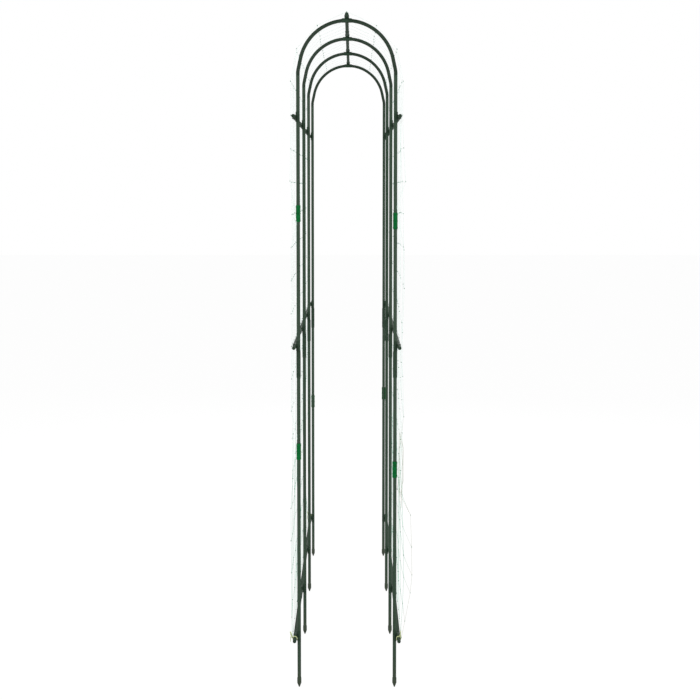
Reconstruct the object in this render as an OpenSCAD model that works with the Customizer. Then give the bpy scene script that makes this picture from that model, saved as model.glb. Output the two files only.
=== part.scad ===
// Tunnel arch for climbing plants: hoops of coated tube, seven rails, press-on clips and a twine net.
// Millimetres, +Z up, +Y along the tunnel towards its back. The origin lies between the stake tips.

/* [Hoops] */
// Number of hoops along the tunnel
hoop_count = 4; // [3:1:4]
// Distance between neighbouring hoops
hoop_spacing = 558; // [400:1:700]
// Distance between the centre lines of the two legs of a hoop
hoop_w = 292; // [230:1:400]
// Height of the crown's centre line above the stake tips
crown_h = 2026; // [1700:1:2450]
// How much smaller the bend's radius is than half of the hoop's width
shoulder_inset = 5; // [3:0.5:8]
// Lean of the bend's straight ends, in degrees from upright
shoulder_lean = 12; // [9:0.5:15]
// Radius of the small bend that brings a leaning end upright
shoulder_r = 60; // [40:1:80]

/* [Tubes] */
// Outer diameter of every tube, coating included
tube_d = 11; // [9:0.5:14]
// Wall of every tube, coating included
tube_wall = 0.6; // [0.4:0.1:1]
// Length of the reduced end that plugs into the tube below
spigot_l = 30; // [15:1:45]
// Height of the cone between the tube and its reduced end
neck_l = 1.5; // [0.8:0.1:3]
// Length of the upright stub between the shoulder and the plug joint
stub_l = 6; // [3:1:20]

/* [Leg joints] */
// Height of the middle of each leg sleeve
leg_joint_h = 996; // [850:1:1180]
// Length of a sleeve
sleeve_l = 80; // [50:1:100]
// Wall of a sleeve
sleeve_wall = 0.95; // [0.7:0.05:2]
// Thickness of the stop ring in the middle of a sleeve
stop_l = 1.2; // [0.8:0.1:3]
// Chamfer at the outer edges of sleeves, tips and clips
edge_chamfer = 0.4; // [0.1:0.1:0.5]

/* [Stake tips] */
// Length of the whole tip
tip_l = 29; // [22:1:45]
// Length of the cone at its end
tip_cone_l = 13; // [8:1:18]
// Diameter of the blunt end of the cone
tip_flat_d = 3; // [2:0.5:5]
// Solid plastic between the cone and the socket's floor
tip_floor = 2; // [1:0.5:5]
// Wall of the socket that takes the tube
tip_wall = 0.95; // [0.7:0.05:2]

/* [Rails] */
// Height of the lower rails
lower_rail_h = 160; // [120:1:300]
// How far the upper rails lie below the joint of leg and bend
upper_rail_drop = 123; // [60:1:160]
// Gap between the surfaces of two tubes that cross
cross_gap = 1; // [0.6:0.1:4]
// Length of rail tube beyond the first and last hoop
rail_overhang = 60; // [50:1:150]
// Distance from a rail joint to the inner hoop beside it
rail_joint_setback = 84; // [70:1:140]

/* [Rail caps] */
// Length of the cap's stem inside the tube
cap_stem_l = 12; // [6:1:16]
// Thickness of the cap's head
cap_end_l = 3; // [2:0.5:6]
// Wall of the cap's stem
cap_wall = 0.75; // [0.6:0.05:1.5]
// Diameter of the dish in the cap's head
cap_dish_d = 7; // [4:0.5:8]
// Depth of the dish in the cap's end
cap_dish = 0.8; // [0.4:0.1:1.2]

/* [Cross clips] */
// Wall of a cross clip's two grips
clip_wall = 1.6; // [1:0.1:3]
// Length of the grip on the leg
clip_leg_l = 30; // [20:1:44]
// Length of the grip on the rail
clip_rail_l = 30; // [20:1:44]
// Width of a grip's mouth as a share of its bore
clip_mouth = 0.76; // [0.6:0.02:0.9]

/* [Net clips] */
// Length of a net clip
net_clip_l = 50; // [30:1:70]
// Wall of a net clip
net_clip_wall = 1.3; // [0.8:0.1:2.5]
// How far the front left net clips lie below the middle rail and below the upper rail
net_clip_left_drop = [322, 289]; // [160:1:400]
// How far the front right net clips lie below the middle rail and below the upper rail
net_clip_right_drop = [377, 311]; // [160:1:400]
// How far the left and the right net clip at the back lie below the middle rail
net_clip_back_drop = [402, 369]; // [160:1:430]

/* [Net] */
// Side of one mesh of the net
mesh = 100; // [60:5:200]
// Diameter of the net's twine
twine_d = 1; // [0.8:0.1:2]
// Diameter of a knot in the twine
knot_d = 2.4; // [2:0.1:4]
// How far the net reaches beyond the first and last hoop
net_overhang = 13; // [5:1:20]
// How far the net's lower part bellies out where it is taut
belly_taut = 12; // [4:1:20]
// How far the net's lower part bellies out where it is slack
belly_slack = 31; // [22:1:50]

/* [Net ties] */
// Diameter of the tie's cord
tie_d = 2; // [1.5:0.1:3]
// Turns of cord around the rail
tie_turns = 3; // [2:1:4]
// Length of each loose tail
tie_tail_l = 22; // [10:1:30]
// Angle between each tail and the tie's middle, in degrees
tie_lean = 35; // [20:1:50]
// Distance from the end hoop to the tie
tie_setback = 30; // [26:1:36]

/* [Clearances] */
// Radial clearance of everything that is pushed onto a tube
fit_gap = 0.05; // [0.02:0.01:0.1]
// Gap at each end of a stop, where a tube ends
end_gap = 0.1; // [0.05:0.05:0.5]
// Gap between a leg sleeve and the cross clip above it
clip_gap = 1; // [0.5:0.5:10]
// Clearance between the net's twines and what they pass
net_gap = 0.4; // [0.2:0.1:2]

/* [Hidden] */
$fn = 48;
COATED = [0.13, 0.24, 0.17];
PLASTIC = [0.07, 0.17, 0.11];
CLIP_GREEN = [0.05, 0.5, 0.24];
TWINE = [0.66, 0.86, 0.72];
TIE = [0.8, 0.86, 0.6];

tube_r = tube_d / 2;
grip_r = tube_r + fit_gap;
leg_x = hoop_w / 2;
hoop_ys = [for (i = [1:hoop_count]) (i - (hoop_count + 1) / 2) * hoop_spacing];
end_y = hoop_ys[hoop_count - 1];

// The hoop's outline: one wide bend, two leaning runs and two small bends into the legs
bend_r = leg_x - shoulder_inset;
bend_z = crown_h - bend_r;
lean_l = (leg_x - shoulder_r * (1 - cos(shoulder_lean)) - bend_r * cos(shoulder_lean)) / sin(shoulder_lean);
shoulder_z = bend_z + bend_r * sin(shoulder_lean) - lean_l * cos(shoulder_lean)
             - shoulder_r * sin(shoulder_lean);
leg_top_z = shoulder_z - stub_l;
// How much thicker and how much longer a straight run is than its place between two bends
lap_step = 0.05;
lap = 1;
socket_z = tip_cone_l + tip_floor;

// Rails lie outside the legs, and the ridge lies on the crowns
cross_d = tube_d + cross_gap;
rail_x = leg_x + cross_d;
ridge_z = crown_h + cross_d;
middle_rail_h = leg_joint_h + sleeve_l / 2 + clip_gap + clip_leg_l / 2;
upper_rail_h = leg_top_z - upper_rail_drop;
rail_end_y = end_y + rail_overhang;
rail_joint_y = hoop_ys[hoop_count - 2] + rail_joint_setback;
SIDE_RAILS = [
    ["lower_rail", lower_rail_h],
    ["middle_rail", middle_rail_h],
    ["upper_rail", upper_rail_h]
];
NET_CLIPS_FRONT = [
    [-1, middle_rail_h - net_clip_left_drop[0]], [-1, upper_rail_h - net_clip_left_drop[1]],
    [1, middle_rail_h - net_clip_right_drop[0]], [1, upper_rail_h - net_clip_right_drop[1]]
];
NET_CLIPS_BACK = [
    [-1, middle_rail_h - net_clip_back_drop[0]], [1, middle_rail_h - net_clip_back_drop[1]]
];
SIDES = [["left", -1], ["right", 1]];
RAILS = concat(
    [["ridge_rail", 0, ridge_z]],
    [for (rail = SIDE_RAILS, side = SIDES) [str(rail[0], "_", side[0]), side[1] * rail_x, rail[1]]]
);
stop_half = stop_l / 2 + end_gap;
RAIL_PARTS = [
    ["front", -rail_end_y, -rail_joint_y - stop_half],
    ["middle", -rail_joint_y + stop_half, rail_joint_y - stop_half],
    ["back", rail_joint_y + stop_half, rail_end_y]
];

// The net lies outside the clips in two layers of twine, the hoop-wise one outermost
net_long_x = rail_x + grip_r + clip_wall + net_gap + twine_d / 2;
net_hoop_x = net_long_x + twine_d + net_gap / 4;
net_top_z = ridge_z + net_hoop_x - rail_x;
net_bend_z = net_top_z - net_hoop_x;
net_l = 2 * (end_y + net_overhang);
belly_half = (middle_rail_h - lower_rail_h) / 2;
belly_z = (middle_rail_h + lower_rail_h) / 2;
net_half = net_hoop_x * PI / 2 + net_bend_z - lower_rail_h;
long_count = round(net_half / mesh);
long_step = net_half / long_count;
hoop_twines = round(net_l / mesh);
hoop_step = net_l / hoop_twines;

// ---- shapes that repeat ----

// Wall of a tube, in section
module tube_section(r = tube_r) {
    difference() {
        circle(r = r);
        circle(r = r - tube_wall);
    }
}

// Straight tube from the origin along +Z
module tube(l, r = tube_r) {
    linear_extrude(l) tube_section(r);
}

// Turns a piece made along +Z so that it runs along +Y
module along_y() {
    rotate([-90, 0, 0]) children();
}

// Sweeps a section around +Y, in the plane of a hoop, from one angle above +X to another
module hoop_sweep(r, from, to) {
    rotate([90, 0, 0]) rotate([0, 0, from]) rotate_extrude(angle = to - from, $fn = ceil(12 * sqrt(r)))
        translate([r, 0]) children();
}

// Ring around +Z that is open towards -X, with its bore and mouth
module grip(wall, l, mouth_w) {
    difference() {
        translate([0, 0, -l / 2]) linear_extrude(l) circle(r = grip_r + wall);
        translate([0, 0, -l]) linear_extrude(2 * l) circle(r = grip_r);
        translate([-grip_r - 2 * wall, -mouth_w / 2, -l]) cube([grip_r + 2 * wall, mouth_w, 2 * l]);
    }
}

// ---- hoops and legs ----

// Leaning run, small bend, upright stub and reduced end on the right of an arch bend.
// The straight runs are thicker by a hair and lap the bends, so that no two surfaces coincide.
module bend_end() {
    run_r = tube_r + lap_step;
    bore_r = run_r - tube_wall;
    spigot_r = tube_r - tube_wall - fit_gap;
    translate([bend_r * cos(shoulder_lean), 0, bend_r * sin(shoulder_lean)])
        rotate([0, 180 - shoulder_lean, 0]) translate([0, 0, -lap]) tube(lean_l + 2 * lap, run_r);
    translate([leg_x - shoulder_r, 0, shoulder_z - bend_z])
        hoop_sweep(shoulder_r, 0, shoulder_lean) tube_section();
    translate([leg_x, 0, leg_top_z - bend_z]) rotate_extrude() polygon([
        [bore_r, stub_l + lap], [run_r, stub_l + lap], [run_r, neck_l], [spigot_r, 0],
        [spigot_r, -spigot_l], [spigot_r - tube_wall, -spigot_l], [spigot_r - tube_wall, 0],
        [bore_r, neck_l]
    ]);
}

module arch_bend(i) {
    color(COATED) translate([0, hoop_ys[i - 1], bend_z]) {
        hoop_sweep(bend_r, shoulder_lean, 180 - shoulder_lean) tube_section();
        bend_end();
        mirror([1, 0, 0]) bend_end();
    }
}

module upper_stake(side, i) {
    foot_z = leg_joint_h + stop_half;
    color(COATED) translate([side * leg_x, hoop_ys[i - 1], foot_z]) tube(leg_top_z - foot_z);
}

module lower_stake(side, i) {
    color(COATED) translate([side * leg_x, hoop_ys[i - 1], socket_z])
        tube(leg_joint_h - stop_half - socket_z);
}

// Sleeve centred on the origin along +Z, with a stop ring inside
module sleeve() {
    outer_r = grip_r + sleeve_wall;
    stop_r = tube_r - tube_wall;
    rotate_extrude() polygon([
        [grip_r, -sleeve_l / 2], [outer_r - edge_chamfer, -sleeve_l / 2],
        [outer_r, -sleeve_l / 2 + edge_chamfer], [outer_r, sleeve_l / 2 - edge_chamfer],
        [outer_r - edge_chamfer, sleeve_l / 2], [grip_r, sleeve_l / 2],
        [grip_r, stop_l / 2], [stop_r, stop_l / 2], [stop_r, -stop_l / 2], [grip_r, -stop_l / 2]
    ]);
}

module leg_sleeves(side) {
    color(PLASTIC) for (y = hoop_ys) translate([side * leg_x, y, leg_joint_h]) sleeve();
}

// Pointed plug over the foot of a leg
module stake_tip() {
    outer_r = grip_r + tip_wall;
    rotate_extrude() polygon([
        [0, 0], [tip_flat_d / 2, 0], [outer_r, tip_cone_l], [outer_r, tip_l - edge_chamfer],
        [outer_r - edge_chamfer, tip_l], [grip_r, tip_l], [grip_r, socket_z - end_gap],
        [0, socket_z - end_gap]
    ]);
}

module stake_tips(side) {
    color(PLASTIC) for (y = hoop_ys) translate([side * leg_x, y, 0]) stake_tip();
}

// ---- rails ----

module rail_piece(rail, part) {
    color(COATED) translate([rail[1], part[1], rail[2]]) along_y() tube(part[2] - part[1]);
}

// The two sleeves of every rail in the list
module rail_sleeves(rails) {
    color(PLASTIC) for (rail = rails, end = [-1, 1])
        translate([rail[1], end * rail_joint_y, rail[2]]) along_y() sleeve();
}

// Cap that plugs a rail's end: its stem sits in the tube below, its dished head looks to +Z
module rail_cap() {
    stem_r = tube_r - tube_wall - fit_gap;
    round_r = cap_end_l / 2;
    head_z = end_gap + cap_end_l;
    rotate_extrude() difference() {
        union() {
            translate([0, -cap_stem_l]) square([stem_r, cap_stem_l + end_gap + round_r]);
            translate([0, end_gap]) square([tube_r, cap_end_l - round_r]);
            translate([0, end_gap]) square([tube_r - round_r, cap_end_l]);
            translate([tube_r - round_r, head_z - round_r]) circle(r = round_r);
        }
        translate([0, -cap_stem_l - 1]) square([stem_r - cap_wall, cap_stem_l + 1]);
        translate([0, head_z - cap_dish]) square([cap_dish_d / 2, cap_dish + 1]);
    }
}

module rail_caps(end) {
    color(PLASTIC) for (rail = RAILS)
        translate([rail[1], end * rail_end_y, rail[2]]) rotate([-90 * end, 0, 0]) rail_cap();
}

// ---- clips ----

// Two grips at right angles on the right of a hoop: one on the leg, one on the rail outside it
module cross_clip() {
    mouth_w = clip_mouth * 2 * grip_r;
    difference() {
        union() {
            grip(clip_wall, clip_leg_l, mouth_w);
            translate([cross_d, 0, 0]) mirror([1, 0, 0]) along_y() grip(clip_wall, clip_rail_l, mouth_w);
        }
        cylinder(r = grip_r, h = 2 * clip_leg_l, center = true);
        translate([cross_d, 0, 0]) along_y() cylinder(r = grip_r, h = 2 * clip_rail_l, center = true);
    }
}

module cross_clips(side) {
    color(PLASTIC) for (y = hoop_ys, rail = SIDE_RAILS)
        translate([side * leg_x, y, rail[1]]) scale([side, 1, 1]) cross_clip();
}

// The same clip for the crown, where its lower grip follows the bend
module ridge_clip() {
    mouth_w = clip_mouth * 2 * grip_r;
    sweep = clip_leg_l / bend_r * 180 / PI;
    reach = grip_r + clip_wall;
    difference() {
        union() {
            translate([0, 0, bend_z]) hoop_sweep(bend_r, 90 - sweep / 2, 90 + sweep / 2) circle(r = reach);
            translate([0, -clip_rail_l / 2, ridge_z]) along_y() cylinder(r = reach, h = clip_rail_l);
        }
        translate([0, 0, bend_z]) hoop_sweep(bend_r, 90 - sweep, 90 + sweep) circle(r = grip_r);
        translate([0, -clip_rail_l, ridge_z]) along_y() cylinder(r = grip_r, h = 2 * clip_rail_l);
        translate([-clip_leg_l, -mouth_w / 2, crown_h - 2 * reach]) cube([2 * clip_leg_l, mouth_w, 2 * reach]);
        translate([-mouth_w / 2, -clip_rail_l, ridge_z]) cube([mouth_w, 2 * clip_rail_l, 2 * reach]);
    }
}

module ridge_clips() {
    color(PLASTIC) for (y = hoop_ys) translate([0, y, 0]) ridge_clip();
}

// Net clips at one end of the tunnel, pressed on from outside, so their mouths look into it
module net_clips(end) {
    mouth_w = clip_mouth * 2 * grip_r;
    color(CLIP_GREEN) for (clip = end < 0 ? NET_CLIPS_FRONT : NET_CLIPS_BACK)
        translate([clip[0] * leg_x, end * end_y, clip[1]]) rotate([0, 0, end * 90])
            grip(net_clip_wall, net_clip_l, mouth_w);
}

// ---- net ----

// Share of the way from the net's front edge to its back edge
function way_back(y) = (y + net_l / 2) / net_l;
// Depth of the belly: the right side is slack at the front, the left side at the back
function belly(side, y) = side > 0
    ? belly_slack + (belly_taut - belly_slack) * way_back(y)
    : belly_taut + (belly_slack - belly_taut) * way_back(y);
// Radius of the arc over the belly's height that is as deep as the belly
function belly_r(depth) = (belly_half * belly_half + depth * depth) / (2 * depth);
// How far that arc stands out at a height
function belly_out(depth, z) = abs(z - belly_z) >= belly_half ? 0
    : sqrt(pow(belly_r(depth), 2) - pow(z - belly_z, 2)) - belly_r(depth) + depth;
// Place of a lengthwise twine that lies a distance along the net from the crown
function long_place(side, s, y) = s < net_hoop_x * PI / 2
    ? [side * net_long_x * sin(s / net_hoop_x * 180 / PI), y,
       net_bend_z + net_long_x * cos(s / net_hoop_x * 180 / PI)]
    : let (z = net_bend_z - s + net_hoop_x * PI / 2)
      [side * (net_long_x + belly_out(belly(side, y), z)), y, z];

// Straight twine between two places of one height
module twine(p, q) {
    step = q - p;
    translate(p) rotate([0, 90, atan2(step[1], step[0])]) cylinder(d = twine_d, h = norm(step), $fn = 16);
}

// One side of a hoop-wise twine, from the spring line to the lower rail, with a knot between stretches
module hoop_twine_side(side, y) {
    r = belly_r(belly(side, y));
    half_angle = asin(belly_half / r);
    run_l = net_bend_z - middle_rail_h - 2 * net_gap;
    scale([side, 1, 1]) {
        for (z = [net_bend_z, middle_rail_h]) translate([net_hoop_x, y, z]) sphere(d = knot_d, $fn = 16);
        translate([net_hoop_x, y, middle_rail_h + net_gap]) cylinder(d = twine_d, h = run_l, $fn = 16);
        translate([net_hoop_x + belly(side, y) - r, y, belly_z])
            hoop_sweep(r, -half_angle, half_angle) circle(d = twine_d, $fn = 16);
    }
}

module net_hoop_twines() {
    color(TWINE) for (i = [0:hoop_twines]) {
        y = i * hoop_step - net_l / 2;
        translate([0, y, net_bend_z]) hoop_sweep(net_hoop_x, 0, 180) circle(d = twine_d, $fn = 16);
        hoop_twine_side(-1, y);
        hoop_twine_side(1, y);
    }
}

module net_long_twines() {
    color(TWINE) for (side = [-1, 1], i = [(1 - side) / 2:long_count])
        twine(long_place(side, i * long_step, -net_l / 2), long_place(side, i * long_step, net_l / 2));
}

// Turns of cord around a rail with a knot and two tails on the outside, on the right
module net_tie() {
    turn_r = tube_r + fit_gap + tie_d / 2;
    pitch = tie_d + end_gap;
    knot_r = pitch * tie_turns / 2;
    knot_x = grip_r + knot_r;
    along_y() for (i = [0:tie_turns - 1])
        translate([0, 0, (i - (tie_turns - 1) / 2) * pitch]) rotate_extrude() translate([turn_r, 0])
            circle(d = tie_d, $fn = 16);
    translate([knot_x, 0, 0]) sphere(r = knot_r);
    for (lean = [-1, 1])
        translate([knot_x, 0, 0]) rotate([lean * tie_lean, 150, 0])
            cylinder(d = tie_d, h = tie_tail_l, $fn = 16);
}

module net_ties() {
    color(TIE) for (side = [-1, 1], end = [-1, 1])
        translate([side * rail_x, end * (end_y + tie_setback), lower_rail_h]) scale([side, 1, 1]) net_tie();
}

// ---- nodes ----
for (i = [1:hoop_count]) {
    arch_bend(i);
    for (side = SIDES) {
        upper_stake(side[1], i);
        lower_stake(side[1], i);
    }
}
for (side = SIDES) {
    leg_sleeves(side[1]);
    stake_tips(side[1]);
    rail_sleeves([for (rail = RAILS) if (rail[1] * side[1] > 0) rail]);
    cross_clips(side[1]);
}
for (rail = RAILS, part = RAIL_PARTS)
    rail_piece(rail, part);
rail_sleeves([RAILS[0]]);  // rail_sleeves_ridge
rail_caps(-1);  // rail_caps_front
rail_caps(1);  // rail_caps_back
ridge_clips();  // cross_clips_ridge
net_clips(-1);  // net_clips_front
net_clips(1);  // net_clips_back
net_hoop_twines();
net_long_twines();
net_ties();
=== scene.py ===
# %% [markdown]
# # A tunnel arch for climbing plants
# Four hoops of green coated tube stand in a row on pointed tips. Seven long rails tie them
# together, a small plastic clip holds every crossing, and a wide-mesh twine net hangs over the
# outside for the plants to climb. The measured frame is loaded first and is never changed.
# Everything added below takes its place from it, so nothing has to be fitted by hand afterwards.

# %% Load the frame
import math
import random

import bmesh
import bpy
from mathutils import Matrix, Vector, noise


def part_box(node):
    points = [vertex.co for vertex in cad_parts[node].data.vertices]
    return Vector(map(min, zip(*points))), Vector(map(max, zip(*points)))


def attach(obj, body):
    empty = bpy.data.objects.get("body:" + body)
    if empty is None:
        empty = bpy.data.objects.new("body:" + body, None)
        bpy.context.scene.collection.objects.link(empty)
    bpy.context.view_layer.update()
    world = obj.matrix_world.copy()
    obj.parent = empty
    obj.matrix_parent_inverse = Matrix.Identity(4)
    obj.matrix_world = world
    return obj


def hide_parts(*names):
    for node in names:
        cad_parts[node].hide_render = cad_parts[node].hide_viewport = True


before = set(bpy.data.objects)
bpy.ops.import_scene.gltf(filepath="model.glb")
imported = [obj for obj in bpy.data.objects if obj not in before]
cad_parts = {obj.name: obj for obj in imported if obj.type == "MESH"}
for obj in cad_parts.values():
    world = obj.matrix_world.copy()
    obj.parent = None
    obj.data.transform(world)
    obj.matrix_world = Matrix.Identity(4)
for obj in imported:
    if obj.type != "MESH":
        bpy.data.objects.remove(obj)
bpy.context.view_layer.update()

# %% [markdown]
# ## Sizes that everything hangs on
# A node's box gives its place and its thickness. The legs, rails and hoops are read here once, in
# metres, and the later cells only use these names.

# %% Read the driving sizes
SHOULDER_INSET = 0.005  # the round top of a hoop is this much narrower on each side than its legs
FIT_GAP = 0.00005  # play between a tube and what grips it
CLIP_MOUTH = 0.76  # width of a grip's mouth as a share of its bore


def centre(node):
    low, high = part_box(node)
    return (low + high) / 2


hoop_count = sum(name.startswith("arch_bend_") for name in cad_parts)
hoop_ys = [centre(f"arch_bend_{i}").y for i in range(1, hoop_count + 1)]
end_y = hoop_ys[-1]
leg_x = centre("lower_stake_right_1").x
rail_x = centre("lower_rail_right_front").x
rail_zs = [centre(f"{level}_rail_right_front").z for level in ("lower", "middle", "upper")]
lower_z, middle_z, upper_z = rail_zs
ridge_low, ridge_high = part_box("ridge_rail_front")
ridge_z = (ridge_low.z + ridge_high.z) / 2
tube_r = (ridge_high.x - ridge_low.x) / 2
crown_z = ridge_z - (rail_x - leg_x)
crown_r = leg_x - SHOULDER_INSET

# A clip's box ends at its lips, so its outside comes from their reach and half the mouth's width.
grip_r = tube_r + FIT_GAP
mouth_half = CLIP_MOUTH * grip_r
clip_out = rail_x + math.hypot(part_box("cross_clips_right")[1].x - rail_x, mouth_half)
print(f"hoops at {[round(y, 3) for y in hoop_ys]}, legs at {leg_x:.3f}, rails at {rail_x:.3f}")

# %% [markdown]
# ## Building node trees in code
# Geometry Nodes and shaders are both node trees. Two helpers keep the cells short: one makes a
# group with named sockets, the other adds a node and either links its inputs or sets them to a
# value.

# %% Helpers for node trees
def make_group(name, kind, inputs, outputs):
    """A node group with named sockets, given as (name, socket type, default or None)."""
    tree = bpy.data.node_groups.new(name, kind)
    for way, sockets in (("INPUT", inputs), ("OUTPUT", outputs)):
        for label, socket_type, default in sockets:
            socket = tree.interface.new_socket(label, in_out=way, socket_type=socket_type)
            if default is not None:
                socket.default_value = default
    return tree, add(tree, "NodeGroupInput").outputs, add(tree, "NodeGroupOutput").inputs


def add(tree, kind, inputs=None, **settings):
    """Adds a node, sets its properties, and links or sets the inputs given by name or number."""
    node = tree.nodes.new(kind)
    node.location = (190 * len(tree.nodes), -90 * (len(tree.nodes) % 5))
    for key, value in settings.items():
        setattr(node, key, value)
    for key, value in (inputs or {}).items():
        if isinstance(value, bpy.types.NodeSocket):
            tree.links.new(value, node.inputs[key])
        else:
            node.inputs[key].default_value = value
    return node


def maths(tree, operation, *values):
    """The result of one Math node."""
    return add(tree, "ShaderNodeMath", dict(enumerate(values)), operation=operation).outputs[0]


def ramp(tree, value, low, high, to_low=0.0, to_high=1.0):
    """value taken smoothly from the range low..high to the range to_low..to_high."""
    inputs = {
        "Value": value, "From Min": low, "From Max": high, "To Min": to_low, "To Max": to_high}
    node = add(tree, "ShaderNodeMapRange", inputs, interpolation_type="SMOOTHSTEP")
    return node.outputs["Result"]


def noise_texture(tree, vector, scale, detail, **more):
    """The value of one Noise Texture node; more names its other inputs."""
    inputs = {"Vector": vector, "Scale": scale, "Detail": detail, **more}
    return add(tree, "ShaderNodeTexNoise", inputs).outputs["Fac"]


# %% [markdown]
# ## Finishes that materials share
# Each effect is one shader group that puts out only masks and heights. `die_lines` are the fine
# streaks that an extruder leaves along a plastic coating, `scuffs` are the chalky marks of
# handling, `soil_dust` is what the ground leaves on the feet, `moulded` is the skin of an
# injection-moulded piece and `twine_lay` the twist of a cord. The materials below place them with
# their own values.

# %% Group: die lines of an extruded coating
VECTOR, FLOAT = "NodeSocketVector", "NodeSocketFloat"
tree, given, out = make_group(
    "die_lines", "ShaderNodeTree", [("Flow", VECTOR, None)],
    [("Height", FLOAT, None), ("Shade", FLOAT, None)])
streaks = noise_texture(tree, given["Flow"], 1.0, 3.0)
bands = noise_texture(tree, given["Flow"], 0.13, 2.0)
tree.links.new(streaks, out["Height"])
tree.links.new(ramp(tree, bands, 0.35, 0.68), out["Shade"])

# %% Group: scuffs of handling
# Amount lowers the edge above which the noise counts as a scuff.
SCUFF_EDGE, SCUFF_REACH, SCUFF_SOFT = 0.46, 0.3, 0.09
tree, given, out = make_group(
    "scuffs", "ShaderNodeTree", [("Position", VECTOR, None), ("Amount", FLOAT, 0.3)],
    [("Mask", FLOAT, None)])
patches = noise_texture(tree, given["Position"], 34.0, 5.0)
scratches = noise_texture(tree, given["Position"], 520.0, 4.0, Roughness=0.7)
both = maths(tree, "MULTIPLY", patches, scratches)
edge = maths(tree, "SUBTRACT", SCUFF_EDGE, maths(tree, "MULTIPLY", given["Amount"], SCUFF_REACH))
tree.links.new(ramp(tree, both, edge, maths(tree, "ADD", edge, SCUFF_SOFT)), out["Mask"])

# %% Group: soil dust on what stands in the ground
# Splashes make the upper edge of the dust ragged, and it fades from just below the ground to Top.
DUST_RAGGED, DUST_BOTTOM = 0.09, -0.05
tree, given, out = make_group(
    "soil_dust", "ShaderNodeTree", [("Position", VECTOR, None), ("Top", FLOAT, 0.09)],
    [("Mask", FLOAT, None)])
height = add(tree, "ShaderNodeSeparateXYZ", {"Vector": given["Position"]}).outputs["Z"]
splashes = noise_texture(tree, given["Position"], 150.0, 6.0)
ragged = maths(tree, "MULTIPLY_ADD", splashes, -DUST_RAGGED, height)
fade = ramp(tree, ragged, DUST_BOTTOM, given["Top"], 1.0, 0.0)
grains = noise_texture(tree, given["Position"], 1400.0, 2.0)
speckle = ramp(tree, grains, 0.32, 0.62, 0.35, 1.0)
tree.links.new(maths(tree, "MULTIPLY", fade, speckle), out["Mask"])

# %% Group: skin of a moulded piece
tree, given, out = make_group(
    "moulded", "ShaderNodeTree", [("Position", VECTOR, None), ("Grain", FLOAT, 900.0)],
    [("Height", FLOAT, None), ("Shade", FLOAT, None)])
pores = noise_texture(tree, given["Position"], given["Grain"], 3.0)
flow = noise_texture(tree, given["Position"], 70.0, 2.0, Distortion=1.5)
tree.links.new(pores, out["Height"])
tree.links.new(ramp(tree, flow, 0.35, 0.65), out["Shade"])

# %% Group: twist of a cord
# "Lay" holds the cosine and sine of the angle around the cord and the distance along it, in metres.
FIBRES, FIBRE_DEPTH = 5.0, 0.08
tree, given, out = make_group(
    "twine_lay", "ShaderNodeTree",
    [("Lay", VECTOR, None), ("Pitch", FLOAT, 0.004), ("Strands", FLOAT, 3.0)],
    [("Height", FLOAT, None), ("Shade", FLOAT, None)])
lay = add(tree, "ShaderNodeSeparateXYZ", {"Vector": given["Lay"]}).outputs
around = maths(tree, "ARCTAN2", lay["Y"], lay["X"])
turns = maths(tree, "DIVIDE", maths(tree, "MULTIPLY", lay["Z"], 2 * math.pi), given["Pitch"])
phase = maths(tree, "MULTIPLY", maths(tree, "ADD", around, turns), given["Strands"])
strand = maths(tree, "ABSOLUTE", maths(tree, "COSINE", maths(tree, "DIVIDE", phase, 2.0)))
fibres = maths(tree, "SINE", maths(tree, "MULTIPLY", phase, FIBRES))
tree.links.new(maths(tree, "MULTIPLY_ADD", fibres, FIBRE_DEPTH, strand), out["Height"])
# Shade is low in the grooves between the strands; the twine materials paint shade there.
tree.links.new(ramp(tree, strand, 0.0, 0.7), out["Shade"])
print("shared finishes:", [group.name for group in bpy.data.node_groups])

# %% [markdown]
# ## Material: green coated tube
# The tubes are thin steel with a dark green plastic coating, extruded onto the tube. The streaks
# have to run along the tube, so there is one variant for upright tubes, one for the rails that
# run back, and one for the bends, where the streaks follow the circle. The lower stakes also
# carry dust from the ground. One function makes them all from a different flow vector; the rails
# and bends get a darker copy of the coating colour, which is painted shade.

# %% Helpers for materials
def new_material(name, colour, roughness, specular=0.5):
    """A material with its constant values set straight on the Principled BSDF."""
    material = bpy.data.materials.new(name)
    material.use_nodes = True
    surface = material.node_tree.nodes["Principled BSDF"]
    surface.inputs["Base Color"].default_value = (*colour, 1)
    surface.inputs["Roughness"].default_value = roughness
    surface.inputs["Specular IOR Level"].default_value = specular
    material.diffuse_color = (*colour, 1)
    return material, material.node_tree, surface.inputs


def group(tree, name, **inputs):
    """A shared group placed in a material."""
    node = add(tree, "ShaderNodeGroup", node_tree=bpy.data.node_groups[name])
    for label, value in inputs.items():
        if isinstance(value, bpy.types.NodeSocket):
            tree.links.new(value, node.inputs[label])
        else:
            node.inputs[label].default_value = value
    return node.outputs


def mix(tree, share, first, second):
    """Two colours mixed; either one may be a constant."""
    inputs = {"Factor": share}
    for index, colour in ((6, first), (7, second)):
        inputs[index] = colour if isinstance(colour, bpy.types.NodeSocket) else (*colour, 1)
    return add(tree, "ShaderNodeMix", inputs, data_type="RGBA").outputs[2]


def bump(tree, height, depth, strength=1.0):
    """A normal from a height; depth is in metres."""
    inputs = {"Height": height, "Distance": depth, "Strength": strength}
    return add(tree, "ShaderNodeBump", inputs).outputs["Normal"]


# %% Wear that coating and plastic share
CHALK = (0.085, 0.115, 0.09)
SOIL = (0.12, 0.09, 0.06)
SOIL_SHARE = 0.22


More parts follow.
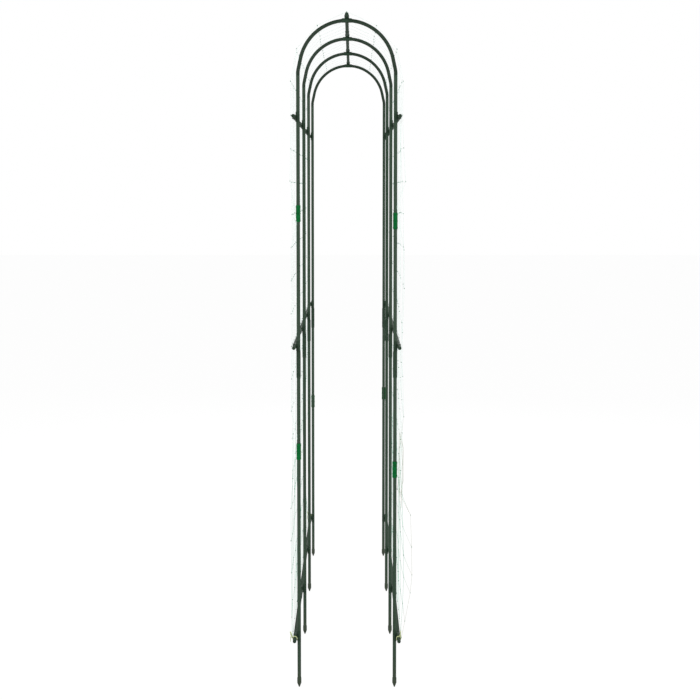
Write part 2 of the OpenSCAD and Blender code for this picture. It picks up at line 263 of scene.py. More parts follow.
def weathered(tree, surface, position, colour, roughness, amount, chalk, dulling, dust=None):
    """Links a colour and roughness, with scuffs (chalk is their share, dulling their roughness)
    and soil dust (dust gives its top and its roughness)."""
    worn = group(tree, "scuffs", Position=position, Amount=amount)["Mask"]
    colour = mix(tree, maths(tree, "MULTIPLY", worn, chalk), colour, CHALK)
    rough = maths(tree, "MULTIPLY_ADD", worn, dulling, roughness)
    if dust:
        top, dust_dulling = dust
        soiled = group(tree, "soil_dust", Position=position, Top=top)["Mask"]
        colour = mix(tree, maths(tree, "MULTIPLY", soiled, SOIL_SHARE), colour, SOIL)
        rough = maths(tree, "MULTIPLY_ADD", soiled, dust_dulling, rough)
    tree.links.new(colour, surface["Base Color"])
    tree.links.new(rough, surface["Roughness"])


# %% Coated tube
COATING = (0.028, 0.052, 0.032)
COATING_LIGHT = (0.040, 0.068, 0.045)
COATING_ROUGH = 0.5
ACROSS, ALONG, ALONG_BEND = 620.0, 4.0, 0.6  # noise per metre, or per radian on a bend


def straight_flow(*scales):
    """The flow vector of tubes that run along one axis."""
    def flow(tree, position):
        node = add(tree, "ShaderNodeVectorMath", {0: position, 1: scales}, operation="MULTIPLY")
        return node.outputs[0]
    return flow


def flow_bend(tree, position):
    """Radius, angle and depth around the middle of the hoop's round top."""
    place = add(tree, "ShaderNodeSeparateXYZ", {"Vector": position}).outputs
    rise = maths(tree, "SUBTRACT", place["Z"], crown_z - crown_r)
    radius = maths(tree, "SQRT", maths(
        tree, "ADD", maths(tree, "POWER", place["X"], 2.0), maths(tree, "POWER", rise, 2.0)))
    angle = maths(tree, "ARCTAN2", rise, place["X"])
    parts = {
        "X": maths(tree, "MULTIPLY", radius, ACROSS),
        "Y": maths(tree, "MULTIPLY", angle, ALONG_BEND),
        "Z": maths(tree, "MULTIPLY", place["Y"], ACROSS)}
    return add(tree, "ShaderNodeCombineXYZ", parts).outputs[0]


def coated_tube(name, flow, dust=None, painted_shade_tone=1.0, shine=0.12):
    """The coating on tubes that run one way; painted_shade_tone darkens it as painted shade, shine
    makes it glossier.
    """
    base, light = ([c * painted_shade_tone for c in colour] for colour in (COATING, COATING_LIGHT))
    material, tree, surface = new_material(name, base, COATING_ROUGH, shine)
    position = add(tree, "ShaderNodeTexCoord").outputs["Object"]
    lines = group(tree, "die_lines", Flow=flow(tree, position))
    colour = mix(tree, lines["Shade"], base, light)
    weathered(tree, surface, position, colour, COATING_ROUGH, 0.42, 0.45, 0.15, dust)
    tree.links.new(bump(tree, lines["Height"], 0.00012, 0.6), surface["Normal"])
    return material


flow_upright, flow_back = straight_flow(ACROSS, ACROSS, ALONG), straight_flow(ACROSS, ALONG, ACROSS)
tube_upright = coated_tube("coated_tube_upright", flow_upright)
tube_foot = coated_tube("coated_tube_foot", flow_upright, dust=(0.07, 0.3))
# The rails and bends take a darker copy of the same coating colour: painted shade.
tube_rail = coated_tube("coated_tube_rail", flow_back, painted_shade_tone=0.8, shine=0.02)
tube_bend = coated_tube("coated_tube_bend", flow_bend, painted_shade_tone=0.62)
print("tube materials:", [m.name for m in bpy.data.materials])

# %% [markdown]
# ## Materials: moulded plastic
# Sleeves, tips, caps and crossing clips are injection moulded in a dark green close to the
# coating. The tips are a little glossier and carry dust from the ground. The six net clips are a
# second, much brighter green.

# %% Moulded plastic
def moulded_plastic(name, colour, light, roughness, specular, grain=900.0, dust=None):
    """Plastic from a mould, mottled between two colours."""
    material, tree, surface = new_material(name, colour, roughness, specular)
    position = add(tree, "ShaderNodeTexCoord").outputs["Object"]
    skin = group(tree, "moulded", Position=position, Grain=grain)
    shade = mix(tree, skin["Shade"], colour, light)
    weathered(tree, surface, position, shade, roughness, 0.34, 0.3, 0.2, dust)
    tree.links.new(bump(tree, skin["Height"], 0.00006, 0.5), surface["Normal"])
    return material


dark_plastic = moulded_plastic(
    "green_plastic", (0.022, 0.042, 0.026), (0.030, 0.054, 0.035), 0.48, 0.06)
tip_plastic = moulded_plastic(
    "green_plastic_tip", (0.024, 0.045, 0.028), (0.032, 0.056, 0.036), 0.45, 0.2,
    dust=(0.045, 0.35))
clip_plastic = moulded_plastic(
    "net_clip_plastic", (0.0005, 0.090, 0.018), (0.001, 0.125, 0.026), 0.3, 0.08, grain=600.0)

# %% [markdown]
# ## Materials: twine and tie cord
# The net is knotted from a thin green twine. High up it turns a pale green, and low on the
# right at the front it turns cream. The ties are a softer, yellowish cord. Both read the "lay"
# attribute that the `round_cord` tree and the knots store, so the twist follows every bend.

# %% Twine and cord
PALE_Z = (0.55, 0.85)  # heights between which the pale colour takes over
CREAM_X, CREAM_Z = (0.0, 0.1), (0.78, 0.88)
CREAM_Y = (-end_y - 0.005, -end_y + 0.09)
# The grooves' colour high up is the pale colour darkened: painted shade.
CREST, GROOVE_SHADE = 1.18, 0.8  # shades of the mottling and of the grooves high up


def twine_material(name, colour, groove_shade, pitch, strands, depth, pale=None, cream_colour=None):
    """A twisted cord; pale is its colour high up, cream_colour its colour low on the right in
    front.
    """
    material, tree, surface = new_material(name, colour, 0.6, 0.15)
    lay = add(tree, "ShaderNodeAttribute", attribute_name="lay").outputs["Vector"]
    twist = group(tree, "twine_lay", Lay=lay, Pitch=pitch, Strands=strands)
    position = add(tree, "ShaderNodeTexCoord").outputs["Object"]
    tint = noise_texture(tree, position, 9.0, 2.0)
    place = add(tree, "ShaderNodeSeparateXYZ", {"Vector": position}).outputs
    base = mix(tree, ramp(tree, tint, 0.35, 0.65), colour, [c * CREST for c in colour])
    if pale:
        high = ramp(tree, place["Z"], *PALE_Z)
        base = mix(tree, high, base, pale)
        groove_shade = mix(tree, high, groove_shade, [c * GROOVE_SHADE for c in pale])
    if cream_colour:
        # Low on the right at the front the twine turns cream.
        near = ramp(tree, place["Y"], *CREAM_Y, 1.0, 0.0)
        low = ramp(tree, place["Z"], *CREAM_Z, 1.0, 0.0)
        right = ramp(tree, place["X"], *CREAM_X)
        cream_share = maths(tree, "MULTIPLY", maths(tree, "MULTIPLY", near, low), right)
        base = mix(tree, cream_share, base, cream_colour)
    # The grooves between the strands get the darker groove colour: painted shade.
    tree.links.new(mix(tree, twist["Shade"], groove_shade, base), surface["Base Color"])
    rough = ramp(tree, tint, 0.3, 0.7, 0.55, 0.66)
    tree.links.new(rough, surface["Roughness"])
    tree.links.new(bump(tree, twist["Height"], depth), surface["Normal"])
    return material


TWINE_LAY = {"pitch": 0.0034, "strands": 2.0, "depth": 0.00015}
net_twine = twine_material(
    "net_twine", (0.04, 0.42, 0.23), (0.02, 0.25, 0.13), **TWINE_LAY,
    pale=(0.70, 0.91, 0.83), cream_colour=(0.46, 0.43, 0.31))
# The knots take a darker copy of the twine's colours: painted shade in their tight loops.
net_knot = twine_material(
    "net_knot", (0.09, 0.24, 0.15), (0.04, 0.12, 0.08), **TWINE_LAY, pale=(0.13, 0.30, 0.21))
tie_cord = twine_material(
    "tie_cord", (0.56, 0.62, 0.33), (0.34, 0.39, 0.18), pitch=0.006, strands=3.0, depth=0.0003)

# %% [markdown]
# ## The tubes, sleeves, caps and tips
# These pieces are turned or extruded shapes, and the frame already has them exactly, with their
# reduced ends, stop rings and dished caps. They stay as they are and only get their finish. The
# rest of the object is made below, because clips, knots and cord are softer shapes than a turned
# tube.

# %% Give the frame's own pieces their finish
FINISHES = [
    ("arch_bend_", tube_bend), ("upper_stake_", tube_upright), ("lower_stake_", tube_foot),
    ("ridge_rail_", tube_rail), ("lower_rail_", tube_rail), ("middle_rail_", tube_rail),
    ("upper_rail_", tube_rail), ("leg_sleeves_", dark_plastic), ("rail_sleeves_", dark_plastic),
    ("rail_caps_", dark_plastic), ("stake_tips_", tip_plastic)]
for start, finish in FINISHES:
    dressed = [node for name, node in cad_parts.items() if name.startswith(start)]
    for node in dressed:
        for slot in node.material_slots:
            slot.material = finish
        if not node.material_slots:
            node.data.materials.append(finish)
    print(f"{start}*: {len(dressed)} nodes in {finish.name}")

# %% [markdown]
# ## Two Geometry Nodes trees
# `round_cord` sweeps a circle along loose edges and stores where each point lies around and along
# the cord. `set_out` puts a copy of a prototype on every point, turned by the point's own "turn"
# attribute and, for knots, tumbled at random with a fixed seed. Both end in real geometry, so
# each result is a plain mesh.

# %% Tree: round cord along edges
GEOMETRY = "NodeSocketGeometry"
cord_tree, given, out = make_group(
    "round_cord", "GeometryNodeTree",
    [("Path", GEOMETRY, None), ("Radius", FLOAT, 0.0005), ("Sides", "NodeSocketInt", 6),
     ("Finish", "NodeSocketMaterial", None)],
    [("Cord", GEOMETRY, None)])
line = add(cord_tree, "GeometryNodeMeshToCurve", {"Mesh": given["Path"]}).outputs["Curve"]
run = add(cord_tree, "GeometryNodeSplineParameter").outputs["Length"]
along = add(cord_tree, "GeometryNodeCaptureAttribute", domain="POINT")
along.capture_items.new("FLOAT", "along")
cord_tree.links.new(line, along.inputs["Geometry"])
cord_tree.links.new(run, along.inputs["along"])
ring = add(cord_tree, "GeometryNodeCurvePrimitiveCircle", {
    "Resolution": given["Sides"], "Radius": given["Radius"]}).outputs["Curve"]
spot = add(cord_tree, "GeometryNodeInputPosition").outputs["Position"]
around = add(cord_tree, "GeometryNodeCaptureAttribute", domain="POINT")
around.capture_items.new("VECTOR", "around")
cord_tree.links.new(ring, around.inputs["Geometry"])
cord_tree.links.new(spot, around.inputs["around"])
swept = add(cord_tree, "GeometryNodeCurveToMesh", {
    "Curve": along.outputs["Geometry"], "Profile Curve": around.outputs["Geometry"],
    "Fill Caps": True}).outputs["Mesh"]
side = add(cord_tree, "ShaderNodeSeparateXYZ", {"Vector": around.outputs["around"]}).outputs
lay = add(cord_tree, "ShaderNodeCombineXYZ", {
    "X": maths(cord_tree, "DIVIDE", side["X"], given["Radius"]),
    "Y": maths(cord_tree, "DIVIDE", side["Y"], given["Radius"]),
    "Z": along.outputs["along"]}).outputs["Vector"]
stored = add(cord_tree, "GeometryNodeStoreNamedAttribute", {
    "Geometry": swept, "Name": "lay", "Value": lay}, data_type="FLOAT_VECTOR", domain="POINT")
smooth = add(cord_tree, "GeometryNodeSetShadeSmooth", {"Geometry": stored.outputs["Geometry"]})
real = add(cord_tree, "GeometryNodeRealizeInstances", {"Geometry": smooth.outputs["Geometry"]})
painted = add(cord_tree, "GeometryNodeSetMaterial", {
    "Geometry": real.outputs["Geometry"], "Material": given["Finish"]})
cord_tree.links.new(painted.outputs["Geometry"], out["Cord"])

# %% Tree: copies of a prototype on points
set_out_tree, given, out = make_group(
    "set_out", "GeometryNodeTree",
    [("Points", GEOMETRY, None), ("Prototype", "NodeSocketObject", None),
     ("Tumble", FLOAT, 0.0), ("Smallest", FLOAT, 1.0), ("Seed", "NodeSocketInt", 7),
     ("Finish", "NodeSocketMaterial", None)],
    [("Copies", GEOMETRY, None)])
shape = add(set_out_tree, "GeometryNodeObjectInfo", {
    "Object": given["Prototype"], "As Instance": True})
turn = add(set_out_tree, "GeometryNodeInputNamedAttribute", {
    "Name": "turn"}, data_type="FLOAT_VECTOR")
loose = add(set_out_tree, "FunctionNodeRandomValue", {
    "Min": (-math.pi,) * 3, "Max": (math.pi,) * 3, "Seed": given["Seed"]},
    data_type="FLOAT_VECTOR")
tumbled = add(set_out_tree, "ShaderNodeVectorMath", {
    0: loose.outputs["Value"], "Scale": given["Tumble"]}, operation="SCALE").outputs["Vector"]
facing = add(set_out_tree, "ShaderNodeVectorMath", {
    0: turn.outputs["Attribute"], 1: tumbled}, operation="ADD").outputs["Vector"]
size = add(set_out_tree, "FunctionNodeRandomValue", {
    "Min": given["Smallest"], "Max": 1.0, "Seed": given["Seed"]}, data_type="FLOAT")
rotation = add(set_out_tree, "FunctionNodeEulerToRotation", {"Euler": facing}).outputs["Rotation"]
size_out = [socket for socket in size.outputs if socket.enabled][0]
placed = add(set_out_tree, "GeometryNodeInstanceOnPoints", {
    "Points": given["Points"], "Instance": shape.outputs["Geometry"], "Rotation": rotation,
    "Scale": size_out})
real = add(set_out_tree, "GeometryNodeRealizeInstances", {"Geometry": placed.outputs["Instances"]})
painted = add(set_out_tree, "GeometryNodeSetMaterial", {
    "Geometry": real.outputs["Geometry"], "Material": given["Finish"]})
set_out_tree.links.new(painted.outputs["Geometry"], out["Copies"])


# %% Helpers that run a tree and keep its plain mesh
def link_object(name, mesh):
    thing = bpy.data.objects.new(name, mesh)
    bpy.context.scene.collection.objects.link(thing)
    return thing


def run_tree(name, mesh, tree, slot, nodes, **values):
    """Runs a tree on a mesh of points or edges, keeps a plain mesh and hangs it on the root."""
    thing = link_object(name, mesh)
    modifier = thing.modifiers.new(tree.name, "NODES")
    modifier.node_group = tree
    for socket in tree.interface.items_tree:
        if socket.in_out == "INPUT" and socket.name in values:
            modifier[socket.identifier] = values[socket.name]
    shown = thing.evaluated_get(bpy.context.evaluated_depsgraph_get())
    result = bpy.data.meshes.new_from_object(shown)
    thing.modifiers.remove(modifier)
    thing.data = result
    result.name = name
    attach(thing, "root")
    if nodes:
        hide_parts(*nodes)
    result.calc_loop_triangles()
    print(f"{name}: {len(result.loop_triangles)} triangles")
    return thing


def path_mesh(name, lines):
    """One mesh of loose edges from several lists of points."""
    mesh = bpy.data.meshes.new(name)
    places, edges = [], []
    for points in lines:
        edges += [(len(places) + i, len(places) + i + 1) for i in range(len(points) - 1)]
        places += points
    mesh.from_pydata(places, edges, [])
    return mesh


def point_mesh(name, spots):
    """One mesh of points, each given as (place, turn as Euler angles)."""
    mesh = bpy.data.meshes.new(name)
    mesh.from_pydata([place for place, turn in spots], [], [])
    turns = mesh.attributes.new("turn", "FLOAT_VECTOR", "POINT")
    for i, (place, turn) in enumerate(spots):
        turns.data[i].vector = turn
    return mesh


# %% [markdown]
# ## Crossing clips
# Each crossing is held by one moulded clip: two open rings back to back, at right angles, with
# the mouths facing away from each other so that leg and rail press in from opposite sides. A
# ring's outline is an arc outside, an arc inside and two rounded lips that flare a little. It is
# extruded, its edges are broken with a small bevel, and the two rings are joined with a boolean
# so that the clip is one closed shell.

# %% Outline of an open ring
ARC_STEPS, LIP_STEPS = 26, 7
LIP_SHARE = 0.58  # radius of a lip as a share of the wall
EDGE_BREAK = 0.0003
SHARP_EDGE = math.radians(60)


def lipped_ring(bore, wall, mouth_half, flare):
    """Outline of a ring open towards -X: its bore, a round lip, its outside and the other lip."""
    last = math.pi - math.asin(mouth_half / bore)
    arc = [last * (2 * i / ARC_STEPS - 1) for i in range(ARC_STEPS + 1)]
    inside = [(bore * math.cos(a), bore * math.sin(a)) for a in arc]
    outer = bore + wall
    outside = [(outer * math.cos(a), outer * math.sin(a)) for a in reversed(arc)]
    middle, lip_r = bore + wall / 2, wall * LIP_SHARE
    lip = []
    for k in range(1, LIP_STEPS):
        a = last + math.pi * (1 - k / LIP_STEPS)
        lip.append((middle * math.cos(last) - flare + lip_r * math.cos(a),
                    middle * math.sin(last) + flare + lip_r * math.sin(a)))
    return inside + lip + outside + [(x, -y) for x, y in reversed(lip)]


def extrude_outline(name, outline, length, matrix=Matrix.Identity(4), bevel=EDGE_BREAK):
    """A closed prism of the outline, centred on the origin along Z, with its end edges bevelled."""
    shape = bmesh.new()
    ring = [shape.verts.new((x, y, -length / 2)) for x, y in outline]
    face = shape.faces.new(ring)
    lifted = bmesh.ops.extrude_face_region(shape, geom=[face])["geom"]
    moved = [item for item in lifted if isinstance(item, bmesh.types.BMVert)]
    bmesh.ops.translate(shape, vec=(0, 0, length), verts=moved)
    bmesh.ops.recalc_face_normals(shape, faces=shape.faces)
    caps = [edge for edge in shape.edges if edge.calc_face_angle(0) > SHARP_EDGE]
    if bevel:
        bmesh.ops.bevel(
            shape, geom=caps, offset=bevel, segments=2, affect="EDGES", profile=0.5)
    bmesh.ops.transform(shape, matrix=matrix, verts=shape.verts)
    mesh = bpy.data.meshes.new(name)
    shape.to_mesh(mesh)
    shape.free()
    return mesh


def combine(first, second, operation):
    """first joined with, or cut by, second; second is used up."""
    modifier = first.modifiers.new(operation.lower(), "BOOLEAN")
    modifier.operation = operation
    modifier.solver = "EXACT"
    modifier.object = second
    shown = first.evaluated_get(bpy.context.evaluated_depsgraph_get())
    first.data = bpy.data.meshes.new_from_object(shown)
    first.modifiers.clear()
    bpy.data.objects.remove(second)
    return first


def hide(thing):
    """A prototype is only copied from, so it never shows."""
    thing.hide_render = True
    thing.hide_viewport = True
    return thing


def soften(thing, degrees):
    """Smooth shading, but sharp wherever faces meet at more than an angle."""
    thing.data.shade_smooth()
    thing.data.set_sharp_from_angle(angle=math.radians(degrees))


# %% One crossing clip, as a prototype
CLIP_WALL = clip_out - rail_x - grip_r
CLIP_LEG, CLIP_RAIL = 0.030, 0.030
CLIP_FLARE = 0.0003
BORE_SIDES = 48
cross_d = rail_x - leg_x
along_y = Matrix.Rotation(math.radians(-90), 4, "X")
facing_out = Matrix.Rotation(math.radians(180), 4, "Z")


def crossing_clip():
    """A grip on the leg and one on the rail, with both bores cut clear."""
    outline = lipped_ring(grip_r, CLIP_WALL, mouth_half, CLIP_FLARE)
    clip = link_object("crossing_clip", extrude_outline("crossing_clip", outline, CLIP_LEG))
    rail_place = Matrix.Translation((cross_d, 0, 0)) @ facing_out @ along_y
    rail_grip = extrude_outline("rail_grip", outline, CLIP_RAIL, rail_place)
    combine(clip, link_object("rail_grip", rail_grip), "UNION")
    angles = [a * math.pi / (BORE_SIDES / 2) for a in range(BORE_SIDES)]
    circle = [(grip_r * math.cos(a), grip_r * math.sin(a)) for a in angles]
    for length, place in ((CLIP_LEG, Matrix.Identity(4)), (CLIP_RAIL, rail_place)):
        bore = extrude_outline("bore", circle, length * 2, place, bevel=0)
        combine(clip, link_object("bore", bore), "DIFFERENCE")
    soften(clip, 38)
    return hide(clip)


clip_prototype = crossing_clip()
clip_prototype.data.calc_loop_triangles()
print("crossing clip:", len(clip_prototype.data.loop_triangles), "triangles")

# %% The 24 clips on the legs
for label, side in (("left", -1), ("right", 1)):
    turn = (0, 0, 0 if side > 0 else math.pi)
    spots = [((side * leg_x, y, z), turn) for y in hoop_ys for z in rail_zs]
    run_tree(f"crossing_clips_{label}", point_mesh(label, spots), set_out_tree, "green_plastic",
             [f"cross_clips_{label}"], Prototype=clip_prototype, Finish=dark_plastic)


# %% [markdown]
# The four clips on the ridge are the same moulding, pressed on from above with its leg ring lying
# along the crown. The crown is bent, so this ring has to bend with it: every point drops by the
# square of its distance from the middle over twice the bend's radius.

# %% The four clips on the ridge
def ridge_clip():
    """The crossing clip turned over and bent to the crown."""
    clip = clip_prototype.copy()
    clip.data = clip_prototype.data.copy()
    clip.name = "ridge_clip"
    bpy.context.scene.collection.objects.link(clip)
    for vertex in clip.data.vertices:
        x, y, z = vertex.co
        vertex.co = (z, -y, x - z * z / (2 * crown_r))
    return hide(clip)


spots = [((0, y, crown_z), (0, 0, 0)) for y in hoop_ys]
run_tree("crossing_clips_ridge", point_mesh("ridge", spots), set_out_tree, "green_plastic",
         ["cross_clips_ridge"], Prototype=ridge_clip(), Finish=dark_plastic)

# %% [markdown]
# ## Net clips
# Six bright green clips pinch the edge of the net against the end hoops: two on each front leg
# and a lower one on each back leg. Each is a long open ring with flared lips, broken edges and
# three shallow ribs for the fingers. It is pressed on from outside the tunnel, so its mouth looks
# into it.

# %% One net clip, as a prototype
NET_CLIP_L = 0.050
NET_CLIP_BORE = 0.0060
NET_CLIP_WALL = 0.0010
NET_CLIP_SHIFT = 0.0005
NET_CLIP_FLARE = 0.0009
RIB_W, RIB_H = 0.0022, 0.0005
RIB_LIFT, RIB_INSET = 0.0003, 0.0012  # how far a rib lies outside the bore and short of the lips
RIB_PLACES = (-0.4, 0, 0.4)  # along the clip, as shares of its length

# Which side, which rail above it and how far below that rail, for the front (-1) and back (1) hoop
NET_CLIP_DROPS = {
    -1: [(-1, middle_z, 0.322), (-1, upper_z, 0.289),
         (1, middle_z, 0.377), (1, upper_z, 0.311)],
    1: [(-1, middle_z, 0.402), (1, middle_z, 0.369)]}


def net_clip():
    """A long flared ring with its ribs."""
    outline = lipped_ring(NET_CLIP_BORE, NET_CLIP_WALL, mouth_half, NET_CLIP_FLARE)
    body = extrude_outline("net_clip", outline, NET_CLIP_L, bevel=0.0004)
    clip = link_object("net_clip", body)
    rib_outline = lipped_ring(
        NET_CLIP_BORE + RIB_LIFT, NET_CLIP_WALL + RIB_H, mouth_half + RIB_INSET, 0.0)
    for place in RIB_PLACES:
        at = Matrix.Translation((0, 0, place * NET_CLIP_L))
        combine(clip, link_object("rib", extrude_outline("rib", rib_outline, RIB_W, at)), "UNION")
    soften(clip, 45)
    return hide(clip)


net_clip_prototype = net_clip()

# %% The six net clips
net_clip_spots = {}
for label, end in (("front", -1), ("back", 1)):
    spots = []
    for side, rail, drop in NET_CLIP_DROPS[end]:
        place = (side * leg_x, end * (end_y + NET_CLIP_SHIFT), rail - drop)
        spots.append((place, (0, 0, end * math.pi / 2)))
    net_clip_spots[end] = [Vector(place) for place, turn in spots]
    run_tree(f"clips_for_net_{label}", point_mesh(f"net_{label}", spots), set_out_tree, "net_clip",
             [f"net_clips_{label}"], Prototype=net_clip_prototype, Finish=clip_plastic)

# %% [markdown]
# ## The net
# The net is a grid of knots, 100 mm apart, joined by thin twine. Its rows run over the tunnel and
# its lines run along it. It is hung, not stretched: it rests on the ridge rail and on the clips
# of the side rails, dips between them, and bags out low on the right at the front. One function
# says where any point of the cloth lies, so both families of twine and the knots meet exactly.
# Small smooth noise keeps it from looking ruled.

# %% Where the net lies
NET_FRONT, NET_BACK = (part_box("net_long_twines")[i].y for i in (0, 1))
MESH = 0.1
TWINE_R = 0.0003
net_r = clip_out + 0.0015
net_bend_z = ridge_z - rail_x
quarter = net_r * math.pi / 2
half = quarter + net_bend_z - lower_z
rows = round((NET_BACK - NET_FRONT) / MESH)
lines = round(half / MESH)
row_step, line_step = (NET_BACK - NET_FRONT) / rows, half / lines
ROOF_DIP, ROOF_SAG = 0.011, 0.003  # dip beside the ridge, and what it grows between hoops
CREASE, CREASE_REACH = 0.004, 0.03  # the free edge stands up a little over the ridge rail
FRONT_REACH, BACK_REACH, HOOP_REACH = 0.085, 0.16, 0.12
EDGE_DROP, DROP_REACH = 0.12, 0.15
DROP_RISE, DROP_TOP, DROP_FADE = 0.38, 0.35, 0.5

# Slack above the middle rail: everywhere, and more at the front (right) or back (left)
HIGH_SLACK = {1: (0.002, 0.008), -1: (0.002, 0.004)}

# Below it: a low belly from two powers and its peak, and an even lean
BELLY_RISE, BELLY_FALL, BELLY_PEAK = 1.15, 3.4, 0.0767
RIGHT_BELLY, RIGHT_FRONT, RIGHT_BACK, RIGHT_LEAN = 0.003, 0.024, 0.008, 0.006
LEFT_BELLY, LEFT_BACK, LEFT_LEAN = 0.001, 0.014, 0.002


def hill(value, middle, width):
    """1 at the middle, smoothly down to nothing two widths away."""
    return math.exp(-((value - middle) / width) ** 2)


def ease(value):
    """0 below 0, 1 above 1 and smooth in between."""
    value = min(max(value, 0.0), 1.0)
    return value * value * (3 - 2 * value)


def between_hoops(y):
    """0 at a hoop, 1 half way to the next."""
    return 1 - max(hill(y, hoop_y, HOOP_REACH) for hoop_y in hoop_ys)


def slack(side, y, z):
    """How far the net stands out from the side rails."""
    front, back = hill(y, NET_FRONT, FRONT_REACH), hill(y, NET_BACK, BACK_REACH)
    if z > upper_z:
        return 0.0
    if z > middle_z:
        swell = 4 * (z - middle_z) * (upper_z - z) / (upper_z - middle_z) ** 2
        even, more = HIGH_SLACK[side]
        return swell * (even + more * (front if side > 0 else back))
    share = min(max((z - lower_z) / (middle_z - lower_z), 0.0), 1.0)
    swell = share ** BELLY_RISE * (1 - share) ** BELLY_FALL / BELLY_PEAK
    lean = 4 * share * (1 - share)
    if side > 0:
        belly = swell * (RIGHT_BELLY + RIGHT_FRONT * front)
        return belly + lean * RIGHT_LEAN * front + swell * RIGHT_BACK * back
    return swell * (LEFT_BELLY + LEFT_BACK * back) + lean * LEFT_LEAN


def settle(side, y, z):
    """How far the free front edge on the right has slid down, so that it bunches above the tie."""
    if side < 0:
        return 0.0
    drop = EDGE_DROP * hill(y, NET_FRONT, DROP_REACH) * ease((z - lower_z) / DROP_RISE)
    return drop * ease((upper_z - DROP_TOP - z) / DROP_FADE)


def drape(side, run, y):
    """Place of the net at a distance from the crown, before it is clipped and tied."""
    if run < quarter:
        angle = run / net_r
        dip = (ROOF_DIP + ROOF_SAG * between_hoops(y)) * math.sin(2 * angle) ** 2
        r = net_r - dip
        lift = CREASE * hill(y, NET_FRONT, CREASE_REACH) * hill(run, 0.0, CREASE_REACH)
        z = net_bend_z + r * math.cos(angle) + lift
        return Vector((side * r * math.sin(angle), y, z))
    z = net_bend_z - (run - quarter)
    z -= settle(side, y, z)
    return Vector((side * (net_r + slack(side, y, z)), y, z))


# %% Ripples, clips and ties pull on it
TIE_Y = end_y + 0.030
TIE_OUT, TIE_UP = 0.0025, 0.002  # where the gathered corner lies on the rail
TIE_REACH = 0.17
PINCH_REACH = 0.10
CLIP_CLEAR = 0.004  # between the end of a net clip and the nearest knot
ON_RIDGE = 0.02  # the twine on the ridge rail has no ripples
REST_REACH = 0.05
RIPPLE, RIPPLE_SCALE, FINE_RIPPLE = 0.0045, 5.3, 3.1
NOISE_SEED = 3
noise.seed_set(NOISE_SEED)  # unseeded, noise_vector differs from run to run


def ripple(side, run, y, place):
    """Smooth unevenness of a hung net; it dies out where the net rests on a rail."""
    seed = Vector((y * RIPPLE_SCALE, run * RIPPLE_SCALE, side * 4.0))
    x, along, up = noise.noise_vector(seed) + 0.5 * noise.noise_vector(seed * FINE_RIPPLE)
    rests = max(hill(place.z, z, REST_REACH) for z in (*rail_zs, ridge_z))
    return Vector((side * x * (1 - rests), along, up * (1 - rests))) * RIPPLE


def pinch(place, edge, clip):
    """Draws the edge to the tube under a net clip and slides a knot beside it to the clip's end."""
    away = place.z - clip.z
    if place.x * clip.x < 0 or abs(away) > PINCH_REACH:
        return place
    side = 1 if clip.x > 0 else -1
    clear = NET_CLIP_L / 2 + CLIP_CLEAR
    pull = ease(1 - (abs(away) - clear) / (PINCH_REACH - clear)) * edge
    slid = math.copysign(clear + abs(away) * (1 - clear / PINCH_REACH), away)
    trapped = (tube_r + TWINE_R) * math.sqrt(0.5)
    aim = Vector((
        side * (leg_x + trapped), clip.y + math.copysign(trapped, clip.y), clip.z + slid))
    return Vector((
        place.x + (aim.x - place.x) * pull, place.y + (aim.y - place.y) * pull,
        place.z + (aim.z - place.z) * edge))


def net_point(run, y):
    """Where the net lies at a signed distance over the crown and a distance along the tunnel."""
    side = -1 if run < 0 else 1
    run = abs(run)
    place = drape(side, run, y)
    if run > ON_RIDGE:
        place += ripple(side, run, y, place)
    for end in (-1, 1):
        edge = 1 - min(abs(y - (NET_FRONT if end < 0 else NET_BACK)) / row_step, 1.0)
        for clip in net_clip_spots[end]:
            if edge > 0:
                place = pinch(place, edge, clip)
        corner = math.hypot(half - run, y - end * abs(NET_BACK))
        gather = ease(1 - corner / TIE_REACH)
        tie = Vector((side * (rail_x + tube_r + TIE_OUT), end * TIE_Y, lower_z + TIE_UP))
        place = place.lerp(tie, gather)
    return place


# %% [markdown]
# A twine is nearly straight between two knots. The ones that run over the tunnel hang upright at
# its sides, and the ones that run along it sag a few millimetres in each mesh. Each twine is a
# line of points, four to a mesh, and the `round_cord` tree turns the lines into twine.

# %% Twines over and along the tunnel
STEPS = 4
SAG = 0.003
SAG_RANGE = 0.6  # the mean share of the sag that a mesh has, and how much it differs


def strung(knots, sag, salt):
    """Points of a twine that runs from knot to knot and hangs a little in between."""
    points = [knots[0]]
    for i, (first, last) in enumerate(zip(knots, knots[1:])):
        loose = SAG_RANGE + SAG_RANGE * noise.noise(Vector((salt * 1.7, i * 2.3, 0.5)))
        for k in range(1, STEPS + 1):
            share = k / STEPS
            hang = sag * loose * 4 * share * (1 - share)
            points.append(first.lerp(last, share) - Vector((0, 0, hang)))
    return points


row_numbers, line_numbers = range(rows + 1), range(-lines, lines + 1)
knots = {(row, line): net_point(line * line_step, NET_FRONT + row * row_step)
         for row in row_numbers for line in line_numbers}
over = [strung([knots[row, line] for line in line_numbers], 0, row) for row in row_numbers]
along = [strung([knots[row, line] for row in row_numbers], SAG if line else 0, line)
         for line in line_numbers]
run_tree("net_rows", path_mesh("rows", over), cord_tree, "net_twine", ["net_hoop_twines"],
         Radius=TWINE_R, Sides=6, Finish=net_twine)
run_tree("net_lines", path_mesh("lines", along), cord_tree, "net_twine", ["net_long_twines"],
         Radius=TWINE_R, Sides=6, Finish=net_twine)
